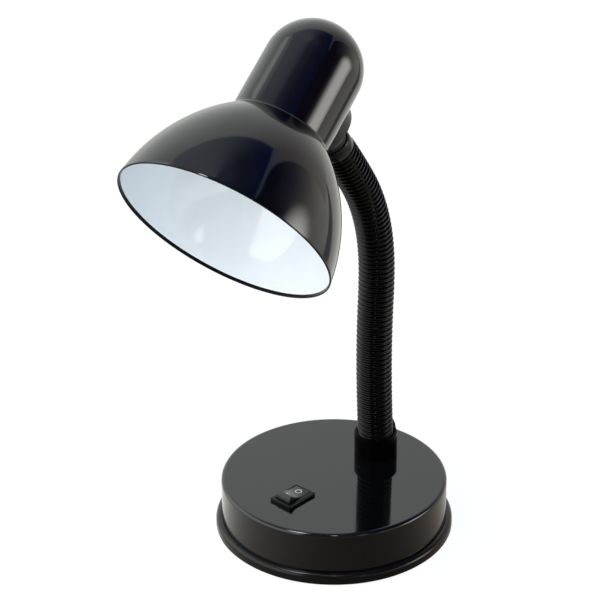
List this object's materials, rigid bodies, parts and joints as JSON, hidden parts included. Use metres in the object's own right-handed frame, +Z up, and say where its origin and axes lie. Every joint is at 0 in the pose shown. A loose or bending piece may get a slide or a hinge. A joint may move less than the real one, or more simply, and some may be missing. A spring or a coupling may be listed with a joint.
{
  "type": "gooseneck desk lamp",
  "caption": "Small desk lamp with a round weighted base, rocker switch, ribbed bending neck and bell shade with a domed rear cup.",
  "frame": {"origin": "centre of the base on the table, in the face of its pad", "axes": "+Z up, -Y towards the front of the lamp, where the switch is and over which the shade hangs"},
  "size_m": [0.1397, 0.2004, 0.31],
  "materials": {
    "cover_paint": "gloss black enamel",
    "shade_paint": "gloss black enamel outside, white inside",
    "black_plastic": "satin moulded",
    "switch_plastic": "polished moulded",
    "hose_rubber": "satin ribbed",
    "foot_rubber": "matte",
    "iron": "rough as cast",
    "zinc_steel": "zinc plated",
    "brass": "bright",
    "lead_cover": "smooth insulation",
    "bakelite": "moulded thermoset",
    "block_plastic": "moulded",
    "lamp_glass": "frosted",
    "cap_metal": "bright"
  },
  "bodies": {
    "base": {"base_cover": "cover_paint", "base_tray": "black_plastic", "ballast_weight": "iron", "foot_pad": "foot_rubber", "cover_pillars": "zinc_steel", "tray_screws": "zinc_steel", "inlet_grommet": "foot_rubber", "switch_housing": "switch_plastic", "switch_terminals": "brass", "terminal_block": "block_plastic", "block_screws": "zinc_steel", "base_leads": "lead_cover", "neck_collar": "black_plastic", "collar_screw": "zinc_steel", "neck_base_fitting": "zinc_steel", "neck_washer": "zinc_steel", "neck_nut": "zinc_steel"},
    "rocker": {"switch_rocker": "switch_plastic"},
    "neck_1": {"neck_conduit_1": "zinc_steel"},
    "neck_2": {"neck_conduit_2": "zinc_steel"},
    "neck_3": {"neck_conduit_3": "zinc_steel", "neck_sleeve": "hose_rubber", "neck_cable": "lead_cover"},
    "neck_4": {"neck_conduit_4": "zinc_steel"},
    "neck_5": {"neck_conduit_5": "zinc_steel"},
    "neck_6": {"neck_conduit_6": "zinc_steel"},
    "neck_7": {"neck_top_fitting": "zinc_steel", "end_ferrule": "black_plastic"},
    "head": {"shade": "shade_paint", "shade_saddle": "black_plastic", "swivel_washer": "black_plastic", "swivel_nipple": "zinc_steel", "swivel_nut": "zinc_steel", "swivel_retainer": "zinc_steel", "inner_saddle": "black_plastic", "holder_bracket": "zinc_steel", "lampholder_cap": "bakelite", "lampholder_body": "bakelite", "lampholder_shell": "brass", "centre_contact": "brass", "holder_screws": "zinc_steel", "holder_leads": "lead_cover", "bulb_glass": "lamp_glass", "bulb_cap": "cap_metal"}
  },
  "joints": [
    {"name": "rocker_tilt", "type": "hinge", "parent": "base", "child": "rocker", "pos_m": [0, -0.0342, 0.0322], "axis": [1, 0, 0], "range_deg": [0, 28]},
    {"name": "bend_1", "type": "hinge", "parent": "base", "child": "neck_1", "pos_m": [0, 0.03464, 0.05758], "axis": [1, 0, 0], "range_deg": [-18, 14], "deforming": ["neck_sleeve", "neck_cable"]},
    {"name": "sway_2", "type": "hinge", "parent": "neck_1", "child": "neck_2", "pos_m": [0, 0.03376, 0.08406], "axis": [0, 0.9999, 0.0162], "range_deg": [-14, 14], "deforming": ["neck_sleeve", "neck_cable"]},
    {"name": "bend_3", "type": "hinge", "parent": "neck_2", "child": "neck_3", "pos_m": [0, 0.03388, 0.11056], "axis": [1, 0, 0], "range_deg": [-18, 14], "deforming": ["neck_sleeve", "neck_cable"]},
    {"name": "sway_4", "type": "hinge", "parent": "neck_3", "child": "neck_4", "pos_m": [0, 0.035, 0.13704], "axis": [0, 0.9994, -0.0355], "range_deg": [-14, 14], "deforming": ["neck_sleeve", "neck_cable"]},
    {"name": "bend_5", "type": "hinge", "parent": "neck_4", "child": "neck_5", "pos_m": [0, 0.03426, 0.1635], "axis": [1, 0, 0], "range_deg": [-18, 14], "deforming": ["neck_sleeve", "neck_cable"]},
    {"name": "sway_6", "type": "hinge", "parent": "neck_5", "child": "neck_6", "pos_m": [0, 0.02821, 0.18924], "axis": [0, 0.9382, 0.346], "range_deg": [-14, 14], "deforming": ["neck_sleeve", "neck_cable"]},
    {"name": "bend_7", "type": "hinge", "parent": "neck_6", "child": "neck_7", "pos_m": [0, 0.01613, 0.21276], "axis": [1, 0, 0], "range_deg": [-18, 14], "deforming": ["neck_sleeve", "neck_cable"]},
    {"name": "head_swivel", "type": "hinge", "parent": "neck_7", "child": "head", "pos_m": [0, -0.00252, 0.23973], "axis": [0, -0.5878, 0.809], "range_deg": [-58.8, 41.2], "deforming": ["neck_cable"]}
  ]
}
